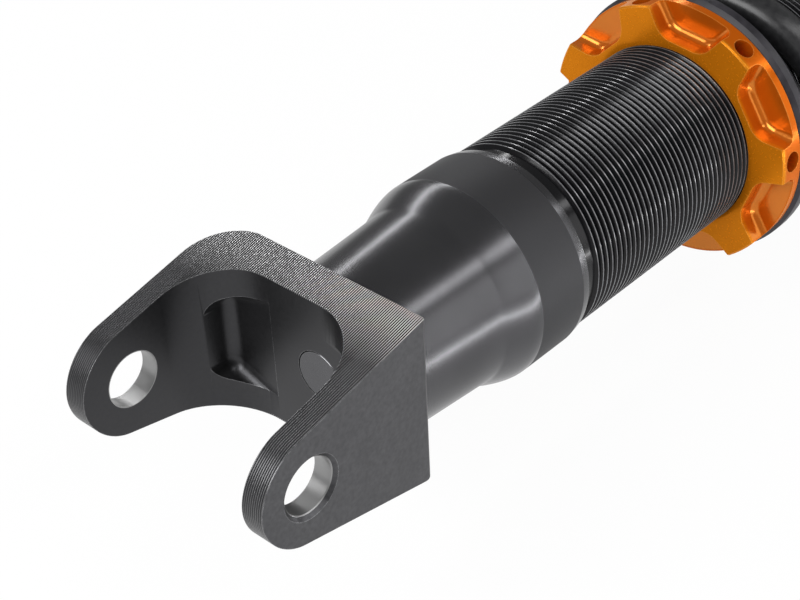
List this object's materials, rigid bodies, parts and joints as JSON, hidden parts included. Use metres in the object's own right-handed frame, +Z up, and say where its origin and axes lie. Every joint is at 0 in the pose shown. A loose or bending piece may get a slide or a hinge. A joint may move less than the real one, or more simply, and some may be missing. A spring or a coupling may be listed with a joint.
{
  "type": "coilover damper",
  "caption": "Monotube coilover with a clevis fork, threaded body, orange spring seat collar, black spring and a spherical top mount.",
  "frame": {"origin": "the lower bolt's axis where the damper axis crosses it", "axes": "+X along the damper from the fork to the top mount, Y along the lower bolt, +Z up across both"},
  "size_m": [0.473, 0.11, 0.11],
  "materials": {
    "fork_metal": "satin hard anodised, ball-milled edges",
    "cap_metal": "satin black anodised",
    "body_metal": "gloss black anodised",
    "collar_metal": "orange anodised, semi-gloss",
    "spring_paint": "black powder coat",
    "black_plastic": "satin",
    "bare_steel": "ground",
    "chrome_rod": "hard chrome",
    "inner_metal": "machined",
    "seal_rubber": "matte",
    "bronze": "turned",
    "foam": "matte foam",
    "urethane": "satin"
  },
  "bodies": {
    "damper_body": {"lower_fork": "fork_metal", "lower_cap": "cap_metal", "gas_fill_screw": "bare_steel", "body_o_ring": "seal_rubber", "threaded_body": "body_metal", "rod_guide": "inner_metal", "guide_bush": "bronze", "rod_seal": "seal_rubber", "rod_wiper": "seal_rubber", "guide_o_ring": "seal_rubber", "guide_snap_ring": "bare_steel"},
    "rod_assembly": {"piston_rod": "chrome_rod", "piston_nut": "bare_steel", "rebound_shims": "bare_steel", "main_piston": "inner_metal", "piston_band": "bronze", "compression_shims": "bare_steel", "piston_washer": "bare_steel", "top_out_stop": "urethane", "bump_stop": "foam", "upper_isolator": "black_plastic", "upper_perch": "cap_metal", "lower_ball_spacer": "bare_steel", "bearing_ball": "chrome_rod", "upper_ball_spacer": "bare_steel", "top_washer": "bare_steel", "top_nut": "bare_steel"},
    "floating_piston_assembly": {"floating_piston": "inner_metal", "floating_piston_seal": "seal_rubber"},
    "spring_seat": {"spring_isolator": "black_plastic", "coil_spring": "spring_paint"},
    "collar": {"adjuster_collar": "collar_metal"},
    "top_mount": {"bearing_race": "bare_steel", "bearing_circlip": "bare_steel", "top_plate": "cap_metal", "top_studs": "bare_steel"},
    "knob": {"adjuster_knob": "collar_metal"},
    "needle": {"metering_needle": "bronze"}
  },
  "joints": [
    {"name": "rod_stroke", "type": "slide", "parent": "damper_body", "child": "rod_assembly", "axis": [1, 0, 0], "range_m": [-0.075, 0], "stiffness_N_per_m": 100000, "deforming": ["coil_spring"]},
    {"name": "floating_piston_travel", "type": "slide", "parent": "damper_body", "child": "floating_piston_assembly", "axis": [1, 0, 0], "range_m": [-0.008, 0]},
    {"name": "seat_travel", "type": "slide", "parent": "damper_body", "child": "spring_seat", "axis": [1, 0, 0], "range_m": [-0.06, 0]},
    {"name": "collar_spin", "type": "hinge", "parent": "spring_seat", "child": "collar", "pos_m": [0.178, 0, 0], "axis": [1, 0, 0], "range_deg": [-10800, 0]},
    {"name": "top_mount_tilt", "type": "hinge", "parent": "rod_assembly", "child": "top_mount", "pos_m": [0.42, 0, 0], "axis": [0, 1, 0], "range_deg": [-8, 8]},
    {"name": "knob_turn", "type": "hinge", "parent": "rod_assembly", "child": "knob", "pos_m": [0.45, 0, 0], "axis": [1, 0, 0], "range_deg": [0, 720]},
    {"name": "needle_travel", "type": "slide", "parent": "rod_assembly", "child": "needle", "axis": [1, 0, 0], "range_m": [-0.002, 0]}
  ],
  "couplings": [
    {"joint": "floating_piston_travel", "follows": "rod_stroke", "ratio": 0.092628},
    {"joint": "collar_spin", "follows": "seat_travel", "rad_per_m": 3141.6},
    {"joint": "knob_turn", "follows": "needle_travel", "rad_per_m": -6283.2}
  ]
}
